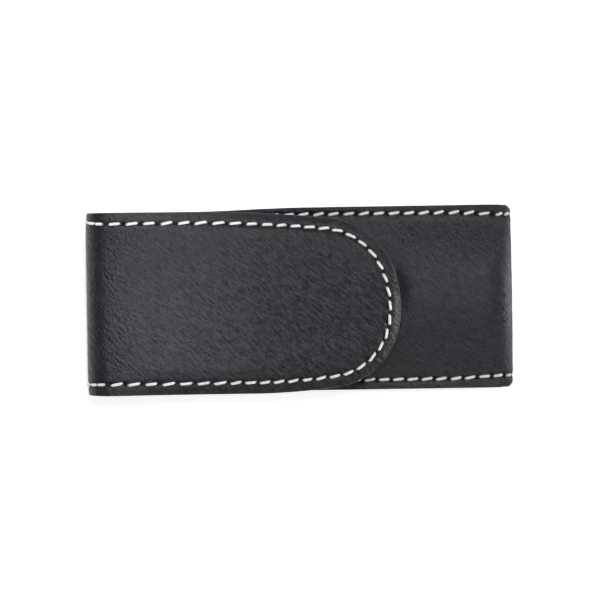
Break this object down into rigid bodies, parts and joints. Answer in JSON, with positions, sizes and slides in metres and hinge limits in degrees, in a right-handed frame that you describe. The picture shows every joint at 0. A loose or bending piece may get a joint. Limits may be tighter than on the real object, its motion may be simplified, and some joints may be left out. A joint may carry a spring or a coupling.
{
  "type": "leather flap case",
  "caption": "Flat lined leather pouch with a round-ended flap that wraps over the front and closes on a hidden magnetic snap, edges saddle stitched in light thread.",
  "frame": {"origin": "centre of the flat back face, on the plane the case lies on", "axes": "+X along the length towards the closed end, away from the flap fold; +Y across the width; +Z out of the front, through the flap"},
  "size_m": [0.125, 0.0546, 0.0129],
  "materials": {
    "outer_leather": "soft semi-matte black leather with fine grain",
    "lining": "charcoal microsuede lining",
    "patch_leather": "undyed split leather",
    "card": "matt grey-brown card stiffener",
    "thread": "waxed ivory thread",
    "snap_plating": "bright nickel plate",
    "snap_steel": "plain zinc-plated steel",
    "magnet": "dull grey magnet"
  },
  "bodies": {
    "case": {"body_leather": "outer_leather", "lining_front": "lining", "lining_back": "lining", "snap_patch": "patch_leather", "mouth_thread": "thread", "upper_seam_thread_front": "thread", "upper_seam_thread_back": "thread", "lower_seam_thread_front": "thread", "lower_seam_thread_back": "thread", "socket_shell": "snap_plating", "socket_magnet": "magnet", "socket_base": "snap_plating", "socket_washer": "snap_steel"},
    "fold_1": {"fold_leather_1": "outer_leather", "fold_lining_1": "lining", "fold_thread_1": "thread"},
    "fold_2": {"fold_leather_2": "outer_leather", "fold_lining_2": "lining", "fold_thread_2": "thread"},
    "fold_3": {"fold_leather_3": "outer_leather", "fold_lining_3": "lining", "fold_thread_3": "thread"},
    "fold_4": {"fold_leather_4": "outer_leather", "fold_lining_4": "lining", "fold_thread_4": "thread"},
    "fold_5": {"fold_leather_5": "outer_leather", "fold_lining_5": "lining", "fold_thread_5": "thread"},
    "fold_6": {"fold_leather_6": "outer_leather", "fold_lining_6": "lining", "fold_thread_6": "thread"},
    "flap": {"flap_leather": "outer_leather", "flap_lining": "lining", "flap_stiffener": "card", "flap_thread_outer": "thread", "flap_thread_inner": "thread", "stud_plate": "snap_plating", "stud_washer": "snap_steel"}
  },
  "joints": [
    {"name": "flap_fold", "type": "hinge", "parent": "case", "child": "fold_1", "pos_m": [-0.05749, 0, 0.00016], "axis": [0, -1, 0], "range_deg": [0, 25.71]},
    {"name": "crease_2", "type": "hinge", "parent": "fold_1", "child": "fold_2", "pos_m": [-0.06007, 0, 0.00141], "axis": [0, -1, 0], "range_deg": [0, 25.71]},
    {"name": "crease_3", "type": "hinge", "parent": "fold_2", "child": "fold_3", "pos_m": [-0.06186, 0, 0.00365], "axis": [0, -1, 0], "range_deg": [0, 25.71]},
    {"name": "crease_4", "type": "hinge", "parent": "fold_3", "child": "fold_4", "pos_m": [-0.0625, 0, 0.00645], "axis": [0, -1, 0], "range_deg": [0, 25.71]},
    {"name": "crease_5", "type": "hinge", "parent": "fold_4", "child": "fold_5", "pos_m": [-0.06186, 0, 0.00925], "axis": [0, -1, 0], "range_deg": [0, 25.71]},
    {"name": "crease_6", "type": "hinge", "parent": "fold_5", "child": "fold_6", "pos_m": [-0.06007, 0, 0.01149], "axis": [0, -1, 0], "range_deg": [0, 25.71]},
    {"name": "crease_7", "type": "hinge", "parent": "fold_6", "child": "flap", "pos_m": [-0.05749, 0, 0.01274], "axis": [0, -1, 0], "range_deg": [0, 25.71]}
  ],
  "couplings": [
    {"joint": "crease_2", "follows": "flap_fold", "ratio": 1},
    {"joint": "crease_3", "follows": "flap_fold", "ratio": 1},
    {"joint": "crease_4", "follows": "flap_fold", "ratio": 1},
    {"joint": "crease_5", "follows": "flap_fold", "ratio": 1},
    {"joint": "crease_6", "follows": "flap_fold", "ratio": 1},
    {"joint": "crease_7", "follows": "flap_fold", "ratio": 1}
  ]
}
